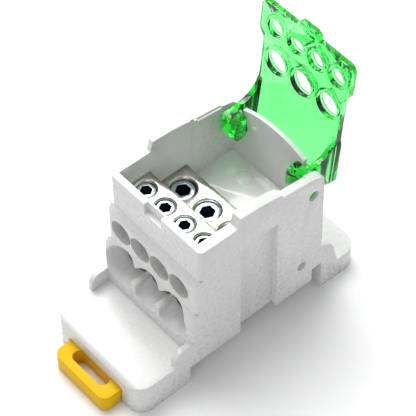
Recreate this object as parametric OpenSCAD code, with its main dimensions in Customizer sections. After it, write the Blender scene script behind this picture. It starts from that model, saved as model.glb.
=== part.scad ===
// One-pole rail-mounted power distribution block.
// X runs across the body, Y from the wire side (-) to the hinge side (+), Z up from the mounting plane.
// X = 0 is the middle wire's axis and Y = 0 is the middle of the mounting rail.

/* [Housing] */
// Thickness of the thin left wall
wall_left = 1.25; // [1:0.05:2]
// Thickness of the right wall, which carries the side recess
wall_right = 2.55; // [2.4:0.05:3.5]
// Thickness of the front wall above the wires
wall_front = 1.65; // [1.4:0.05:2.2]
// Thickness of the rear wall
wall_rear = 1.0; // [0.8:0.1:1.4]
// Height of the body's underside above the feet's soles
rail_seat_z = 5.3; // [5:0.1:6]
// Height of the front rim
rim_z = 42.8; // [42:0.1:43]
// Height of the side walls' crest
crest_z = 45.4; // [44.8:0.1:46.5]
// Height of the side walls at the hinge end
hinge_end_z = 40.6; // [40:0.1:41]
// Radius of the body's upright front corners
corner_r = 1.2; // [0.8:0.1:1.6]
// Height of the floor of the space behind the terminal block
floor_z = 24.5; // [22:0.1:26]
// Depth of the recess in the right side
recess_depth = 1.7; // [1:0.1:1.8]

/* [Feet] */
// Length of the front foot
front_foot_len = 14.8; // [14:0.1:18]
// Height of the front foot, which is the shelf under the wires
shelf_z = 8.9; // [8.6:0.1:9.4]
// Length of the rear foot
rear_foot_len = 11.7; // [10:0.1:16]
// Height of the rear foot's toe
toe_z = 5.9; // [4.5:0.1:7]
// Corner radius of both feet
foot_r = 4; // [2:0.5:6]
// Width of the mounting rail that the feet take
rail_w = 35; // [35:0.1:35.3]

/* [Wires] */
// Spacing of the large clamps
large_pitch = 8.14; // [8.05:0.01:8.25]
// Spacing of the small clamps
small_pitch = 6.35; // [6.2:0.01:6.4]
// Bore for a large wire
large_bore = 7.2; // [6:0.1:7.4]
// Bore for a small wire
small_bore = 5.8; // [5:0.1:5.9]
// Height of the large wires' axes
large_wire_z = 17; // [16.6:0.1:17.4]
// Height of the small wires' axes
small_wire_z = 27.5; // [27:0.1:27.8]
// Radius of the large wire entries at the face
large_entry_r = 5.6; // [5:0.1:5.7]
// Radius of the small wire entries at the face
small_entry_r = 3.14; // [3.05:0.01:3.15]

/* [Terminal block] */
// Height of the front tier, which holds the small screws
front_tier_z = 36.5; // [35.8:0.1:37.5]
// Height of the rear tier, which holds the large screws
rear_tier_z = 30.6; // [30:0.1:31.5]
// Length of the front tier
front_tier_len = 8.15; // [7.8:0.05:8.6]
// Length of the rear tier
rear_tier_len = 10.3; // [9:0.1:11]
// Clearance between the terminal block and its pocket
block_gap = 0.2; // [0.1:0.05:0.3]

/* [Screws] */
// Thread diameter of the large clamp screws
large_screw_d = 6; // [5.5:0.1:6.2]
// Thread diameter of the small clamp screws
small_screw_d = 4.6; // [4:0.1:4.8]
// Width across flats of the large hexagon sockets
large_socket = 3.2; // [2.5:0.1:3.6]
// Width across flats of the small hexagon sockets
small_socket = 2.5; // [2:0.1:2.8]
// Running clearance of a screw in its hole, on the radius
screw_gap = 0.05; // [0.03:0.01:0.08]
// How far the screw heads sit below the tiers
screw_sink = 0.6; // [0.3:0.1:0.9]

/* [Lid] */
// Angle by which the lid stands open
lid_open = 95.8; // [0:0.1:96]
// Thickness of the lid's plate
lid_t = 1.5; // [1:0.1:1.8]
// Reach of the lid from its hinge to its free edge
lid_len = 31.8; // [31.2:0.1:32.2]
// Length of the lid beyond its hinge
lid_tail = 4.5; // [3.8:0.1:5]
// Diameter of the access holes over the large screws
large_access = 6.4; // [6:0.1:7]
// Diameter of the access holes over the small screws
small_access = 4.8; // [4.4:0.1:5.2]
// Diameter of the hinge pins
pin_d = 2.7; // [2.2:0.1:3]
// Running clearance of the hinge pins, on the radius
pin_gap = 0.06; // [0.03:0.01:0.1]
// Depth of the latch hook below the lid
hook_drop = 3; // [2.4:0.1:3.2]

/* [Rail clip] */
// Width of the rail clip
clip_w = 17.5; // [16:0.1:19]
// Thickness of the rail clip
clip_t = 4.5; // [4:0.1:4.6]
// How far the clip's grip stands out of the foot
clip_out = 5; // [4:0.1:7]
// Length of the grip's finger slot
clip_slot_len = 11.2; // [8:0.1:12]
// Width of the grip's finger slot
clip_slot_w = 3.2; // [2.2:0.1:3.4]
// Sliding clearance round the clip
clip_gap = 0.3; // [0.15:0.05:0.35]

/* [Hidden] */
eps = 0.01;
$fn = 48;

// Body across: the clamps' middle is X = 0, and the right wall is the thicker one.
cavity_hw = 12.85;
left_x = -cavity_hw - wall_left;
right_x = cavity_hw + wall_right;
body_w = right_x - left_x;
foot_mid_x = (left_x + right_x) / 2;

// Body along: the front face comes forward in two steps on its way down.
front_foot_rear_y = -19;
rear_foot_front_y = 20.1;
face_low_y = -18.6;
face_mid_y = -16.9;
face_top_y = -15.5;
rear_y = 19.8;
upper_step_z = [31.3, 33];
lower_step_z = [20, 22.5];
entry_rise = 0.65;
fin_z = 16.2;
fin_t = 1.4;
cavity_front_y = face_top_y + wall_front;
cavity_rear_y = rear_y - wall_rear;

// Terminal block.
block_front_y = cavity_front_y + block_gap;
tier_y = block_front_y + front_tier_len;
block_rear_y = tier_y + rear_tier_len;
block_hw = cavity_hw - block_gap;
block_bottom_z = large_wire_z - large_bore / 2 - 1.4;
small_screw_y = tier_y - front_tier_len / 2 + 0.2;
large_screw_y = tier_y + rear_tier_len / 2 + 0.15;
small_x = [for (i = [-1.5:1.5]) i * small_pitch];
large_x = [for (i = [-1:1]) i * large_pitch];

// Hinge.
hinge_y = rear_y - 3;
hinge_z = 35.7;
lid_under = rim_z + 0.9 - hinge_z;
arm_in = cavity_hw - 1.65;
arm_out = cavity_hw - 0.3;
lug_in = arm_out - 4.3;
hook_y = face_top_y + 0.1 - hinge_y;
flap_hw = 9.75;
flap_z = hinge_z + sqrt(pow(lid_under - 0.25, 2) - pow(rear_y - hinge_y, 2));

// ---------------------------------------------------------------- shared helpers

// Extrudes a Y-Z outline along X from x0 to x1.
module along_x(x0, x1) {
    translate([x0, 0, 0]) rotate([90, 0, 90]) linear_extrude(x1 - x0) children();
}

// A round bar along Y, tapering from r0 at y0 to r1 at y1.
module along_y(x, z, y0, y1, r0, r1) {
    translate([x, y0, z]) rotate([-90, 0, 0]) cylinder(h = y1 - y0, r1 = r0, r2 = r1);
}

// Rectangle between two corners.
module box2(a, b) {
    translate(a) square(b - a);
}

// Box between two corners.
module box3(a, b) {
    translate(a) cube(b - a);
}

// Plan rectangle whose two front corners are round.
module plan_front(x0, x1, y0, y1, r) {
    box2([x0, y0 + r], [x1, y1]);
    box2([x0 + r, y0], [x1 - r, y1]);
    for (x = [x0 + r, x1 - r]) translate([x, y0 + r]) circle(r);
}

// Slot outline with round ends, centred, of length l and width w.
module obround(l, w) {
    square([l - w, w], center = true);
    for (s = [-1, 1]) translate([s * (l - w) / 2, 0]) circle(d = w);
}

// ---------------------------------------------------------------- housing

// Outline of the body seen from the side.
module body_side() {
    polygon([
        [face_low_y, rail_seat_z], [face_low_y, lower_step_z[0]],
        [face_mid_y, lower_step_z[1]], [face_mid_y, upper_step_z[0]],
        [face_top_y, upper_step_z[1]], [face_top_y, rim_z],
        [-5.1, rim_z - 0.2], [-4.3, crest_z],
        [1.2, crest_z - 0.5], [4.2, crest_z - 1], [7.4, crest_z - 1.75],
        [7.7, rim_z - 0.1], [15.4, hinge_end_z + 0.9], [rear_y - 1, hinge_end_z],
        [rear_y, hinge_end_z - 1], [rear_y, rail_seat_z]
    ]);
}

// One storey of the body, with its own front plane.
module storey(front_y, z0, z1) {
    intersection() {
        along_x(left_x, right_x) body_side();
        translate([0, 0, z0]) linear_extrude(z1 - z0)
            plan_front(left_x, right_x, front_y, rear_y + eps, corner_r);
    }
}

// Thin tabs that carry the side walls on over the shelf.
module ears() {
    for (x = [left_x, right_x - wall_left])
        along_x(x, x + wall_left) {
            box2([front_foot_rear_y - 1.9, shelf_z - 1], [face_low_y + 1, shelf_z + 4.4]);
            translate([front_foot_rear_y - 1.9, shelf_z + 2]) circle(2.4);
            box2([front_foot_rear_y - 4.3, shelf_z - 1], [face_low_y, shelf_z + 2]);
        }
}

// Front foot: a block with round corners and a soft upper front edge.
module front_foot() {
    y0 = front_foot_rear_y - front_foot_len;
    edge = 1.2;
    intersection() {
        linear_extrude(shelf_z) plan_front(left_x, right_x, y0, face_low_y + 2, foot_r);
        along_x(left_x, right_x) {
            box2([y0, 0], [front_foot_rear_y, shelf_z - edge]);
            box2([y0 + edge, 0], [front_foot_rear_y, shelf_z]);
            translate([y0 + edge, shelf_z - edge]) circle(edge);
            box2([front_foot_rear_y - 1, rail_seat_z], [face_low_y + 2, shelf_z]);
        }
    }
}

// Rear foot: a toe, the wall that carries it and a rib at each side.
module rear_foot() {
    y1 = rear_foot_front_y + rear_foot_len;
    mirror([0, 1, 0]) linear_extrude(toe_z)
        plan_front(left_x, right_x, -y1, -rear_foot_front_y, foot_r);
    box3([left_x, rear_foot_front_y, 0], [right_x, rear_foot_front_y + 1.6, 14.2]);
    box3([left_x, rear_y - 1, 9.2], [right_x, rear_foot_front_y + 1, 14.2]);
    for (x = [left_x, right_x - wall_left])
        along_x(x, x + wall_left) {
            polygon([
                [rear_y - 1, 9.2], [rear_y - 1, 15.1], [rear_y + 1, 14.9], [rear_y + 2.7, 14],
                [rear_y + 3.7, 12.4], [rear_y + 5.5, toe_z - 1], [rear_foot_front_y, toe_z - 1]
            ]);
        }
    // Fixed hook under the rail's rear edge.
    along_x(foot_mid_x - 10, foot_mid_x + 10)
        polygon([
            [rear_foot_front_y + eps, 0.6], [rear_foot_front_y + eps, rail_seat_z - 0.1],
            [rail_w / 2 + 0.2, rail_seat_z - 0.1], [rail_w / 2 + 0.2, 4.1],
            [rail_w / 2 - 1.3, 3.5], [rail_w / 2 - 1.3, 2], [rail_w / 2, 0.6]
        ]);
}

// T-shaped guide for the rail clip, open at the front, the rear and below.
module clip_guide() {
    y0 = front_foot_rear_y - front_foot_len - 1;
    hw = clip_w / 2 + clip_gap;
    box3([foot_mid_x - hw, y0, 2], [foot_mid_x + hw, front_foot_rear_y + eps, 0.3 + clip_t + clip_gap]);
    box3([foot_mid_x - hw + 1.3, y0, -1], [foot_mid_x + hw - 1.3, front_foot_rear_y + eps, 3]);
}

// Space over the terminal block and behind it.
module cavity() {
    box3([-cavity_hw, cavity_front_y, floor_z], [cavity_hw, cavity_rear_y, crest_z + 1]);
    box3([-cavity_hw - 0.25, block_rear_y + 1.5, floor_z], [cavity_hw + 0.25, cavity_rear_y, crest_z + 1]);
    box3([-cavity_hw, cavity_front_y, block_bottom_z - block_gap], [cavity_hw, block_rear_y + block_gap, floor_z + 1]);
}

// Rear wall's flap between the lid's arms, arched at its top.
module flap() {
    r = 2.4;
    rise = 1.6;
    arch_r = (pow(flap_hw - r / 2, 2) + rise * rise) / (2 * rise);
    translate([0, rear_y, 0]) rotate([90, 0, 0]) linear_extrude(wall_rear)
        intersection() {
            box2([-flap_hw, floor_z - 1], [flap_hw, flap_z]);
            translate([0, flap_z - arch_r]) circle(arch_r, $fn = 180);
        }
}

// Gaps beside the flap that the lid's arms swing through.
module arm_gaps() {
    for (s = [-1, 1])
        box3([s > 0 ? flap_hw : -cavity_hw - 0.25, cavity_rear_y - eps, hinge_z - 4],
             [s > 0 ? cavity_hw + 0.25 : -flap_hw, rear_y + 1, crest_z + 1]);
}

// Recess in the right side, open at the bottom, with one round corner.
module side_recess() {
    y0 = -4.3;
    y1 = 6.45;
    top = 34.9;
    r = 3;
    along_x(right_x - recess_depth, right_x + 1) {
        box2([y0, rail_seat_z - 1], [y1, top - r]);
        box2([y0 + r, rail_seat_z], [y1, top]);
        translate([y0 + r, top - r]) circle(r);
    }
}

// Large wire entries: three flared mouths that run into each other, with a fin between neighbours.
module large_entries() {
    difference() {
        for (x = large_x)
            along_y(x, large_wire_z + entry_rise, face_low_y - eps, cavity_front_y + eps,
                    large_entry_r, large_bore / 2 + 0.3);
        for (s = [-1, 1])
            box3([s * large_pitch / 2 - fin_t / 2, face_low_y - 1, rail_seat_z],
                 [s * large_pitch / 2 + fin_t / 2, cavity_front_y + 1, fin_z]);
    }
}

// Small wire entries: flared mouths in the upper ledge.
module small_entries() {
    for (x = small_x) {
        along_y(x, small_wire_z, face_low_y, face_mid_y + 0.01, small_entry_r, small_entry_r);
        along_y(x, small_wire_z, face_mid_y, cavity_front_y + eps, small_entry_r, small_bore / 2 + 0.05);
    }
}

// Latch recess at the top of the front wall.
module latch_recess() {
    box3([-2.75, face_top_y - 1, rim_z - 3], [2.75, face_top_y + 1.15, rim_z + 1]);
}

// Round features of the side walls: the hinge holes and the blind hole low on the right.
module side_holes() {
    translate([left_x - 1, hinge_y, hinge_z]) rotate([0, 90, 0])
        cylinder(h = body_w + 2, r = pin_d / 2 + pin_gap);
    translate([right_x - 1.2, 14, 13.1]) rotate([0, 90, 0]) cylinder(h = 2, d = 2.7);
}

// Stepped tops of the side walls beside the lid.
module wall_rebates() {
    for (s = [-1, 1])
        box3([s > 0 ? cavity_hw : -cavity_hw - 0.75, 8.4, 0], [s > 0 ? cavity_hw + 1 : -cavity_hw, 15.5, 60]);
}

module housing() {
    color([0.87, 0.87, 0.86]) {
        difference() {
            union() {
                storey(face_low_y, rail_seat_z, lower_step_z[1]);
                storey(face_mid_y, lower_step_z[1] - eps, upper_step_z[1]);
                storey(face_top_y, upper_step_z[1] - eps, crest_z + 1);
                ears();
                front_foot();
                rear_foot();
            }
            clip_guide();
            cavity();
            arm_gaps();
            side_recess();
            large_entries();
            small_entries();
            latch_recess();
            side_holes();
            // Tilting room for the rail, in front of the rear foot.
            box3([left_x - 1, 17.1, rail_seat_z - 1], [right_x + 1, rear_foot_front_y, 9.2]);
            // Rebates beside the lid's tail.
            intersection() {
                wall_rebates();
                along_x(left_x, right_x)
                    polygon([[8, rim_z - 0.7], [15.6, hinge_end_z + 0.4], [15.6, 50], [8, 50]]);
            }
            // Ejector ring in the floor.
            translate([-5, 15, floor_z - 0.12]) difference() {
                cylinder(h = 1, r = 2.1);
                translate([0, 0, -1]) cylinder(h = 3, r = 1.9);
            }
        }
        flap();
    }
}

// ---------------------------------------------------------------- lid

// Smooth step from 0 at a to 1 at b.
function ease(v, a, b) = let (t = min(1, max(0, (v - a) / (b - a)))) t * t * (3 - 2 * t);

// Half width of the lid at the distance s in front of its hinge.
function lid_half(s) =
    12.4 + 1.5 * ease(s, 21.5, 23.8) + 0.45 * ease(-s, -9.1, -7.8);

// Plan outline of the lid, with its hinge along X and its free edge at -Y.
module lid_plan() {
    r = 1.8;
    s = [for (i = [0:48]) -lid_tail + r + (lid_len + lid_tail - 2 * r) * i / 48];
    polygon(concat(
        [for (v = s) [lid_half(v), -v]],
        [for (a = [0:15:90]) [lid_half(lid_len) - r + r * cos(a), -lid_len + r - r * sin(a)]],
        [for (a = [0:15:90]) [-lid_half(lid_len) + r - r * sin(a), -lid_len + r - r * cos(a)]],
        [for (i = [48:-1:0]) [-lid_half(s[i]), -s[i]]],
        [for (a = [0:15:90]) [-lid_half(-lid_tail) + r - r * cos(a), lid_tail - r + r * sin(a)]],
        [for (a = [0:15:90]) [lid_half(-lid_tail) - r + r * sin(a), lid_tail - r + r * cos(a)]]
    ));
}

// One hinge arm: a web from the plate down to the lug, with its pin.
module lid_arm(pin_end) {
    rotate([90, 0, 90]) translate([0, 0, arm_in]) linear_extrude(arm_out - arm_in) {
        difference() {
            polygon([[-10, lid_under + eps], [3.6, lid_under + eps], [2, 0], [-4.4, -2], [-4.4, 1.2]]);
            translate([-11.2, 1.8]) circle(6.2);
        }
        circle(2);
    }
    rotate([0, 90, 0]) translate([0, 0, lug_in]) cylinder(h = arm_out - lug_in, r = 2);
    box3([lug_in, -4.4, -2], [arm_out, 0, 1.2]);
    rotate([0, 90, 0]) translate([0, 0, arm_out - 1]) cylinder(h = pin_end - arm_out + 1, d = pin_d);
}

// Access holes' collars, or the holes themselves.
module lid_holes(extra, z0, z1) {
    for (x = small_x)
        translate([x, small_screw_y - hinge_y, z0]) cylinder(h = z1 - z0, d = small_access + extra);
    for (x = large_x)
        translate([x, large_screw_y - hinge_y, z0]) cylinder(h = z1 - z0, d = large_access + extra);
}

// The lid closed, with its hinge axis along X through the origin.
module lid_closed() {
    difference() {
        union() {
            translate([0, 0, lid_under]) linear_extrude(lid_t) lid_plan();
            lid_holes(1.4, lid_under + 0.2, lid_under + lid_t + 0.5);
        }
        lid_holes(0, lid_under - 1, lid_under + lid_t + 2);
    }
    lid_arm(cavity_hw + wall_right - 1);
    mirror([1, 0, 0]) lid_arm(cavity_hw + wall_left - 0.15);
    // Finger tab at the free edge.
    translate([0, -lid_len, lid_under]) linear_extrude(lid_t) {
        box2([-1.6, -1.8], [1.6, 1]);
        box2([-3.4, 0], [3.4, 1]);
        for (s = [-1, 1]) translate([s * 1.6, 0]) circle(1.8);
    }
    // Latch hook that drops into the recess in the front wall.
    along_x(-2.45, 2.45)
        polygon([[hook_y, lid_under + eps], [hook_y, lid_under - hook_drop + 0.3],
                 [hook_y + 0.2, lid_under - hook_drop], [hook_y + 0.6, lid_under - hook_drop],
                 [hook_y + 1, lid_under - 0.8], [hook_y + 1.5, lid_under + eps]]);
}

module lid() {
    color([0.2, 0.9, 0.4, 0.7]) translate([0, hinge_y, hinge_z]) rotate([-lid_open, 0, 0]) lid_closed();
}

// ---------------------------------------------------------------- rail clip

module rail_clip() {
    z0 = 0.3;
    z1 = z0 + clip_t;
    shoulder_z = 2 + 0.2;
    hw = clip_w / 2;
    foot_y = front_foot_rear_y - front_foot_len;
    color([0.98, 0.8, 0.08]) translate([foot_mid_x, 0, 0]) {
        difference() {
            union() {
                translate([0, 0, z0]) linear_extrude(clip_t) plan_front(-hw, hw, foot_y - clip_out, foot_y - 0.3, 2);
                box3([-hw, foot_y - 1, shoulder_z], [hw, front_foot_rear_y - 0.5, z1]);
                box3([-hw + 1.3, foot_y - 1, z0], [hw - 1.3, front_foot_rear_y - 0.5, z1]);
            }
            translate([0, foot_y - clip_out + 2.1 + clip_slot_w / 2, -1]) linear_extrude(10)
                obround(clip_slot_len, clip_slot_w);
        }
        // Nose under the rail's front edge.
        along_x(-hw + 2, hw - 2)
            polygon([[front_foot_rear_y - 1, z0], [front_foot_rear_y - 1, 4.1], [-rail_w / 2 + 1.2, 4.1],
                     [-rail_w / 2 + 1.2, 3], [-rail_w / 2 - 0.6, z0]]);
    }
}

// ---------------------------------------------------------------- terminal block and screws

// Tapped hole with its countersink, down from the tier's top.
module tapped_hole(x, y, top, d, depth) {
    translate([x, y, top - depth]) cylinder(h = depth + 1, d = d + 2 * screw_gap);
    translate([x, y, top - 0.35]) cylinder(h = 0.36, d1 = d + 2 * screw_gap, d2 = d + 2 * screw_gap + 0.7);
}

module terminal_block() {
    color([0.8, 0.79, 0.74]) difference() {
        along_x(-block_hw, block_hw)
            polygon([
                [block_front_y, block_bottom_z], [block_front_y, front_tier_z], [tier_y, front_tier_z],
                [tier_y, rear_tier_z], [block_rear_y, rear_tier_z], [block_rear_y, block_bottom_z]
            ]);
        for (x = small_x) {
            tapped_hole(x, small_screw_y, front_tier_z, small_screw_d, front_tier_z - small_wire_z);
            along_y(x, small_wire_z, block_front_y - 1, tier_y - 1.2, small_bore / 2, small_bore / 2);
        }
        for (x = large_x) {
            tapped_hole(x, large_screw_y, rear_tier_z, large_screw_d, rear_tier_z - large_wire_z);
            along_y(x, large_wire_z, block_front_y - 1, block_rear_y - 1.2, large_bore / 2, large_bore / 2);
        }
    }
}

// Headless clamp screw with a hexagon socket and a blunt point.
module clamp_screw(x, y, top, tip, d, socket) {
    color([0.72, 0.76, 0.8]) translate([x, y, 0]) difference() {
        union() {
            translate([0, 0, tip + 0.6]) cylinder(h = top - tip - 1, d = d);
            translate([0, 0, top - 0.4]) cylinder(h = 0.4, d1 = d, d2 = d - 0.8);
            translate([0, 0, tip]) cylinder(h = 0.6, d1 = d - 1.6, d2 = d);
        }
        translate([0, 0, top - 3]) cylinder(h = 4, d = socket / cos(30), $fn = 6);
    }
}

module small_screw(i) {
    clamp_screw(small_x[i], small_screw_y, front_tier_z - screw_sink / 2,
                small_wire_z + small_bore / 2 + 0.2, small_screw_d, small_socket);
}

module large_screw(i) {
    clamp_screw(large_x[i], large_screw_y, rear_tier_z - screw_sink,
                large_wire_z + large_bore / 2 + 0.2, large_screw_d, large_socket);
}

housing();
lid();
rail_clip();
terminal_block();
small_screw(0);  // small_screw_1
small_screw(1);  // small_screw_2
small_screw(2);  // small_screw_3
small_screw(3);  // small_screw_4
large_screw(0);  // large_screw_1
large_screw(1);  // large_screw_2
large_screw(2);  // large_screw_3
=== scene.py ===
import math

import bpy
from mathutils import Matrix, Vector

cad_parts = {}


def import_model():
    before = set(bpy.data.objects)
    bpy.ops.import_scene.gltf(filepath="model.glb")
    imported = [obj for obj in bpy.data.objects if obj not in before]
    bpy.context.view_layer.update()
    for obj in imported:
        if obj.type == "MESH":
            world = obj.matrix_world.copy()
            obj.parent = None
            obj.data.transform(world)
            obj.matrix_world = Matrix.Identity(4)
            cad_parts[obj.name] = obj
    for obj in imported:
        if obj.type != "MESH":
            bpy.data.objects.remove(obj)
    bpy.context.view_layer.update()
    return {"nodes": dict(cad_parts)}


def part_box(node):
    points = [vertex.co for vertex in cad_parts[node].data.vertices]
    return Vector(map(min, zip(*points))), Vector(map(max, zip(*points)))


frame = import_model()
NODES = frame["nodes"]

MM = 0.001

# ---------------------------------------------------------------- pieces

HOUSING = "housing"
LID = "lid"
CLIP = "rail_clip"
BLOCK = "terminal_block"
SMALL_SCREWS = ["small_screw_%d" % i for i in range(1, 5)]
LARGE_SCREWS = ["large_screw_%d" % i for i in range(1, 4)]

# ---------------------------------------------------------------- colours and finishes

PALE_GREY = (0.76, 0.76, 0.75)
GREY_ROUGHNESS = 0.28
YELLOW = (0.84, 0.5, 0.0)
YELLOW_ROUGHNESS = 0.38
YELLOW_MOTTLE = 0.05
YELLOW_SPECULAR = 0.1
GREEN_DEEP = (0.36, 0.97, 0.44)
GREEN_LIGHT = (0.42, 1.0, 0.5)
GREEN_VOLUME = (0.02, 0.95, 0.3, 1)
GREEN_DENSITY = 380.0
TIN_DARK = (0.3, 0.29, 0.25)
TIN_LIGHT = (0.6, 0.59, 0.54)
ZINC_DARK = (0.3, 0.38, 0.45)
ZINC_LIGHT = (0.58, 0.64, 0.68)
# Painted shade: the near-black colour painted into the screws' sockets.
SOCKET_PAINTED_SHADE = (0.02, 0.035, 0.055, 1)
METAL_ROUGHNESS = 0.17
PLASTIC_IOR = 1.5
POLISHED_ROUGHNESS = 0.07

# The well that the mould's core left glossy: the middle and half size of its box.
WELL = ((0, 2.5 * MM, 34 * MM), (12.95 * MM, 16.4 * MM, 11 * MM))

# Noise sizes in waves a metre, and bump heights in metres.
FLOW_SCALE = 90
GRAIN_SCALE = 5200
SHEEN_SCALE = 900
TOOL_MARK_SCALE = 1500
TARNISH_SCALE = 260
GRAIN_HEIGHT = 0.000001
FLOW_HEIGHT = 0.00001
LID_WAVE_HEIGHT = 0.00008
TOOL_MARK_HEIGHT = 0.000006

# The tool marks run along the axis that isn't stretched.
BLOCK_MARKS = (1, 12, 12)
SCREW_MARKS = (1, 1, 14)

# Painted shade: the screw metal darkens from just below a screw's head and is fully dark this far down its
# socket.
PAINTED_SHADE_START = 0.3 * MM
PAINTED_SHADE_FULL = 2.2 * MM

# ---------------------------------------------------------------- edges

WELD_DISTANCE = 0.002 * MM
FLAT_ANGLE = 0.5
BEVEL_ANGLE = 28
HOUSING_EDGE = 0.25 * MM
LID_EDGE = 0.18 * MM
CLIP_EDGE = 0.35 * MM
BLOCK_EDGE = 0.12 * MM
SCREW_EDGE = 0.06 * MM

# ---------------------------------------------------------------- stage, lights and camera

FLOOR_HALF = 3.0
FLOOR_DROP = 0.02 * MM
FLOOR_DARK = (0.93, 0.93, 0.93)
FLOOR_LIGHT = (0.96, 0.96, 0.96)
LIGHT_TARGET = (0, 0, 0.02)
LIGHT_SIZE = 0.6
KEY_PLACE = (-0.3, 0.12, 0.72)
KEY_WATTS = 5.6
FILL_PLACE = (0.3, -0.6, 0.45)
FILL_WATTS = 1.0
ROOM_AMBIENT = 0.56
ROOM_SEEN = 1.0
ROOM_BRIGHT_SIDE = (-0.35, 0.55, 0.76)
ROOM_DIM = (0.3, 0.32, 0.33, 1)
ROOM_WHITE = (1, 1, 1, 1)

# The camera as solved from the photo's edges: angles in degrees, and the focal length in its pixels.
AZIMUTH = 49.558
ELEVATION = 51.527
ROLL = -0.935
FOCAL_PIXELS = 2200
PHOTO_PIXELS = 416
SENSOR_WIDTH = 36
SOLVED_SHIFT = (0.798 * MM, -19.761 * MM, -501.102 * MM)
SOLVED_OFFSET_X = 0.65 * MM


# ---------------------------------------------------------------- node helpers

class Nodes:
    """Short calls for one material's node tree."""

    def __init__(self, name):
        self.mat = bpy.data.materials.new(name)
        self.mat.use_nodes = True
        self.tree = self.mat.node_tree
        self.bsdf = self.tree.nodes["Principled BSDF"]
        self.out = self.tree.nodes["Material Output"]
        self.coord = self.tree.nodes.new("ShaderNodeTexCoord").outputs["Object"]

    def add(self, kind, **values):
        """A node with its sockets or properties set by name; a socket as a value is linked."""
        node = self.tree.nodes.new("ShaderNode" + kind)
        for key, value in values.items():
            socket = node.inputs.get(key.replace("_", " "))
            if socket is None:
                setattr(node, key, value)
            else:
                self.put(socket, value)
        return node

    def put(self, socket, value):
        """Links a socket given as the value, and sets anything else."""
        if isinstance(value, bpy.types.NodeSocket):
            self.tree.links.new(value, socket)
        else:
            socket.default_value = value

    def shader(self, **values):
        """Sets or links the material's main shader by socket name."""
        for key, value in values.items():
            self.put(self.bsdf.inputs[key.replace("_", " ")], value)

    def noise(self, scale, detail, stretch=(1, 1, 1)):
        place = self.add("Mapping", Vector=self.coord, Scale=stretch)
        return self.add("TexNoise", Vector=place.outputs[0], Scale=scale, Detail=detail).outputs["Fac"]

    def spread(self, value, low, high, from_low=0.3, from_high=0.7):
        """Maps a value from one range to another."""
        return self.add("MapRange", Value=value, From_Min=from_low, From_Max=from_high,
                        To_Min=low, To_Max=high).outputs["Result"]

    def tint(self, value, dark, light, low=0.3, high=0.7):
        """Runs from dark to light as the value goes from low to high."""
        ramp = self.add("ValToRGB", Fac=value)
        for stop, place, colour in zip(ramp.color_ramp.elements, (low, high), (dark, light)):
            stop.position = place
            stop.color = (*colour, 1)
        return ramp.outputs["Color"]

    def math(self, operation, a, b):
        node = self.add("Math", operation=operation)
        self.put(node.inputs[0], a)
        self.put(node.inputs[1], b)
        return node.outputs[0]

    def inside(self, middle, half):
        """1 inside the box given by its middle and half size, in metres, and 0 outside."""
        away = self.add("VectorMath", operation="SUBTRACT")
        self.put(away.inputs[0], self.coord)
        self.put(away.inputs[1], middle)
        size = self.add("VectorMath", operation="ABSOLUTE")
        self.put(size.inputs[0], away.outputs[0])
        parts = self.add("SeparateXYZ", Vector=size.outputs[0])
        result = 1.0
        for axis, limit in zip("XYZ", half):
            result = self.math("MULTIPLY", self.math("LESS_THAN", parts.outputs[axis], limit), result)
        return result

    def blend(self, amount, first, second):
        """A mix of two colours."""
        mix = self.add("Mix", data_type="RGBA", blend_type="MIX")
        factor, colour_a, colour_b = mix.inputs[0], mix.inputs[6], mix.inputs[7]
        self.put(factor, amount)
        self.put(colour_a, first)
        self.put(colour_b, second)
        return mix.outputs[2]

    def bump(self, height, distance, strength, under=None):
        node = self.add("Bump", Height=height, Distance=distance, Strength=strength)
        if under is not None:
            self.put(node.inputs["Normal"], under)
        return node.outputs["Normal"]


def scaled(colour, k):
    return tuple(min(1.0, c * k) for c in colour)


# ---------------------------------------------------------------- materials

def moulded_plastic(name, colour, roughness, mottle=0.012, specular=0.5, polished=None):
    """Moulded plastic: fine spark-eroded grain, a slow flow variation and a soft sheen.

    polished is a box, as its middle and half size, in which the mould's core left a glossy face.
    """
    m = Nodes(name)
    flow = m.noise(FLOW_SCALE, 3)
    grain = m.noise(GRAIN_SCALE, 2)
    if polished:
        roughness = m.spread(m.inside(*polished), roughness, POLISHED_ROUGHNESS, 0, 1)
    m.shader(Base_Color=m.tint(flow, scaled(colour, 1 - mottle), scaled(colour, 1 + mottle / 2)),
             Roughness=m.math("ADD", m.spread(m.noise(SHEEN_SCALE, 3), -0.04, 0.05), roughness),
             Normal=m.bump(grain, GRAIN_HEIGHT, 0.25, m.bump(flow, FLOW_HEIGHT, 0.05)))
    m.bsdf.inputs["IOR"].default_value = PLASTIC_IOR
    m.bsdf.inputs["Specular IOR Level"].default_value = specular
    return m.mat


def clear_green():
    """See-through green plastic: colour deepens with the length of the light's path."""
    m = Nodes("clear_green")
    flow = m.noise(120, 2)
    m.shader(Base_Color=m.tint(flow, GREEN_DEEP, GREEN_LIGHT),
             Roughness=m.spread(m.noise(700, 2), 0.02, 0.07),
             Normal=m.bump(flow, LID_WAVE_HEIGHT, 0.4))
    m.bsdf.inputs["Transmission Weight"].default_value = 1.0
    m.bsdf.inputs["IOR"].default_value = PLASTIC_IOR
    absorb = m.add("VolumeAbsorption", Color=GREEN_VOLUME, Density=GREEN_DENSITY)
    m.tree.links.new(absorb.outputs["Volume"], m.out.inputs["Volume"])
    return m.mat


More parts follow.
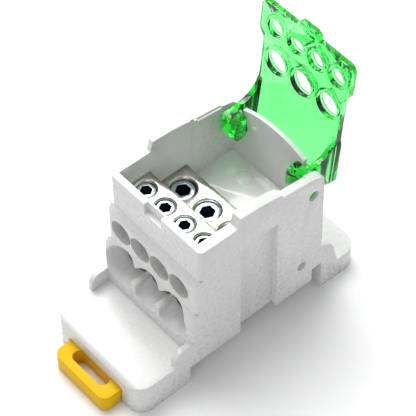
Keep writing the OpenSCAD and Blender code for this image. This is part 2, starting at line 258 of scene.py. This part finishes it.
def plated_metal(name, dark, light, stretch, head_top=None):
    """Plated metal with tool marks along one direction and faint tarnish.

    head_top is the height of a screw's head: shade is painted into the metal's colour down its socket.
    """
    m = Nodes(name)
    marks = m.noise(TOOL_MARK_SCALE, 3, stretch)
    tarnish = m.noise(TARNISH_SCALE, 4)
    colour = m.tint(tarnish, dark, light, 0.35, 0.62)
    if head_top:
        # Painted shade: the colour darkens with depth below the head's top, down the socket.
        height = m.add("SeparateXYZ", Vector=m.coord).outputs["Z"]
        painted_shade = m.spread(height, 1, 0, head_top - PAINTED_SHADE_FULL, head_top - PAINTED_SHADE_START)
        colour = m.blend(painted_shade, colour, SOCKET_PAINTED_SHADE)
    m.shader(Base_Color=colour,
             Roughness=m.spread(tarnish, METAL_ROUGHNESS + 0.08, METAL_ROUGHNESS),
             Normal=m.bump(marks, TOOL_MARK_HEIGHT, 0.5))
    m.bsdf.inputs["Metallic"].default_value = 1.0
    return m.mat


def give(material, nodes):
    for node in nodes:
        mesh = NODES[node].data
        mesh.materials.clear()
        mesh.materials.append(material)


give(moulded_plastic("pale_grey_plastic", PALE_GREY, GREY_ROUGHNESS, polished=WELL), [HOUSING])
give(clear_green(), [LID])
give(moulded_plastic("yellow_plastic", YELLOW, YELLOW_ROUGHNESS, YELLOW_MOTTLE, YELLOW_SPECULAR), [CLIP])
give(plated_metal("tin_plate", TIN_DARK, TIN_LIGHT, BLOCK_MARKS), [BLOCK])
for screws in (SMALL_SCREWS, LARGE_SCREWS):
    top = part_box(screws[0])[1].z
    give(plated_metal("zinc_plate", ZINC_DARK, ZINC_LIGHT, SCREW_MARKS, top), screws)


# ---------------------------------------------------------------- soft edges on the CAD nodes

def soften(node, width, segments=2):
    """Rounds the moulded edges and smooths the faceted curves, as modifiers."""
    obj = NODES[node]
    weld = obj.modifiers.new("weld", "WELD")
    weld.merge_threshold = WELD_DISTANCE
    flat = obj.modifiers.new("flat", "DECIMATE")
    flat.decimate_type = "DISSOLVE"
    flat.angle_limit = math.radians(FLAT_ANGLE)
    bevel = obj.modifiers.new("bevel", "BEVEL")
    bevel.width = width
    bevel.segments = segments
    bevel.limit_method = "ANGLE"
    bevel.angle_limit = math.radians(BEVEL_ANGLE)
    bevel.use_clamp_overlap = True
    bevel.harden_normals = True


soften(HOUSING, HOUSING_EDGE)
soften(LID, LID_EDGE)
soften(CLIP, CLIP_EDGE, segments=3)
soften(BLOCK, BLOCK_EDGE)
for screw in SMALL_SCREWS + LARGE_SCREWS:
    soften(screw, SCREW_EDGE)
for obj in NODES.values():
    for polygon in obj.data.polygons:
        polygon.use_smooth = True


# ---------------------------------------------------------------- stage, lights and camera

def floor():
    """A wide sheet of white paper under the feet."""
    mesh = bpy.data.meshes.new("floor")
    r = FLOOR_HALF
    mesh.from_pydata([(-r, -r, 0), (r, -r, 0), (r, r, 0), (-r, r, 0)], [], [(0, 1, 2, 3)])
    obj = bpy.data.objects.new("floor", mesh)
    obj.location.z = -FLOOR_DROP
    bpy.context.collection.objects.link(obj)
    m = Nodes("floor_paper")
    m.shader(Base_Color=m.tint(m.noise(4, 2), FLOOR_DARK, FLOOR_LIGHT), Roughness=0.9)
    mesh.materials.append(m.mat)


def area_light(name, where, energy):
    """A round lamp that points at the object."""
    data = bpy.data.lights.new(name, "AREA")
    data.shape = "DISK"
    data.size = LIGHT_SIZE
    data.energy = energy
    obj = bpy.data.objects.new(name, data)
    obj.location = where
    aim = Vector(LIGHT_TARGET) - Vector(where)
    obj.rotation_euler = aim.to_track_quat("-Z", "Y").to_euler()
    bpy.context.collection.objects.link(obj)


def any_of(tree, sockets):
    """1 where any of the sockets is 1."""
    result = sockets[0]
    for socket in sockets[1:]:
        largest = tree.nodes.new("ShaderNodeMath")
        largest.operation = "MAXIMUM"
        tree.links.new(result, largest.inputs[0])
        tree.links.new(socket, largest.inputs[1])
        result = largest.outputs[0]
    return result


def room_colour(tree):
    """White, and darker low down on the wire side, which gives the metal its contrast."""
    facing = tree.nodes.new("ShaderNodeVectorMath")
    facing.operation = "DOT_PRODUCT"
    facing.inputs[1].default_value = Vector(ROOM_BRIGHT_SIDE).normalized()
    tree.links.new(tree.nodes.new("ShaderNodeTexCoord").outputs["Generated"], facing.inputs[0])
    ramp = tree.nodes.new("ShaderNodeValToRGB")
    for stop, place, colour in zip(ramp.color_ramp.elements, (0.05, 0.45), (ROOM_DIM, ROOM_WHITE)):
        stop.position = place
        stop.color = colour
    tree.links.new(facing.outputs["Value"], ramp.inputs["Fac"])
    return ramp.outputs["Color"]


def world(ambient, seen):
    """A pale studio: ambient for the light it gives, seen where a camera, mirror or glass ray meets it."""
    studio = bpy.data.worlds.new("studio")
    studio.use_nodes = True
    tree = studio.node_tree
    back = tree.nodes["Background"]
    path = tree.nodes.new("ShaderNodeLightPath")
    rays = [path.outputs[ray] for ray in ("Is Camera Ray", "Is Glossy Ray", "Is Transmission Ray")]
    level = tree.nodes.new("ShaderNodeMapRange")
    level.inputs["To Min"].default_value = ambient
    level.inputs["To Max"].default_value = seen
    tree.links.new(any_of(tree, rays), level.inputs["Value"])
    tree.links.new(level.outputs["Result"], back.inputs["Strength"])
    tree.links.new(room_colour(tree), back.inputs["Color"])
    bpy.context.scene.world = studio


def camera():
    """The camera at the photo's viewing angle."""
    azimuth, elevation, roll = (math.radians(v) for v in (AZIMUTH, ELEVATION, ROLL))
    back = Vector((math.sin(azimuth) * math.cos(elevation), -math.cos(azimuth) * math.cos(elevation),
                   math.sin(elevation)))
    level_right = Vector((math.cos(azimuth), math.sin(azimuth), 0))
    level_up = back.cross(level_right)
    right = level_right * math.cos(roll) + level_up * math.sin(roll)
    up = level_up * math.cos(roll) - level_right * math.sin(roll)
    along_right, along_up, along_back = SOLVED_SHIFT
    where = -(right * along_right + up * along_up + back * along_back)
    where.x += SOLVED_OFFSET_X
    data = bpy.data.cameras.new("camera")
    data.sensor_width = SENSOR_WIDTH
    data.lens = FOCAL_PIXELS / PHOTO_PIXELS * SENSOR_WIDTH
    data.clip_start = 0.01
    obj = bpy.data.objects.new("camera", data)
    turn = Matrix((right, up, back)).transposed()
    obj.matrix_world = Matrix.Translation(where) @ turn.to_4x4()
    bpy.context.collection.objects.link(obj)
    bpy.context.scene.camera = obj


floor()
world(ROOM_AMBIENT, ROOM_SEEN)
area_light("key", KEY_PLACE, KEY_WATTS)
area_light("fill", FILL_PLACE, FILL_WATTS)
camera()
bpy.context.scene.view_settings.view_transform = "Standard"
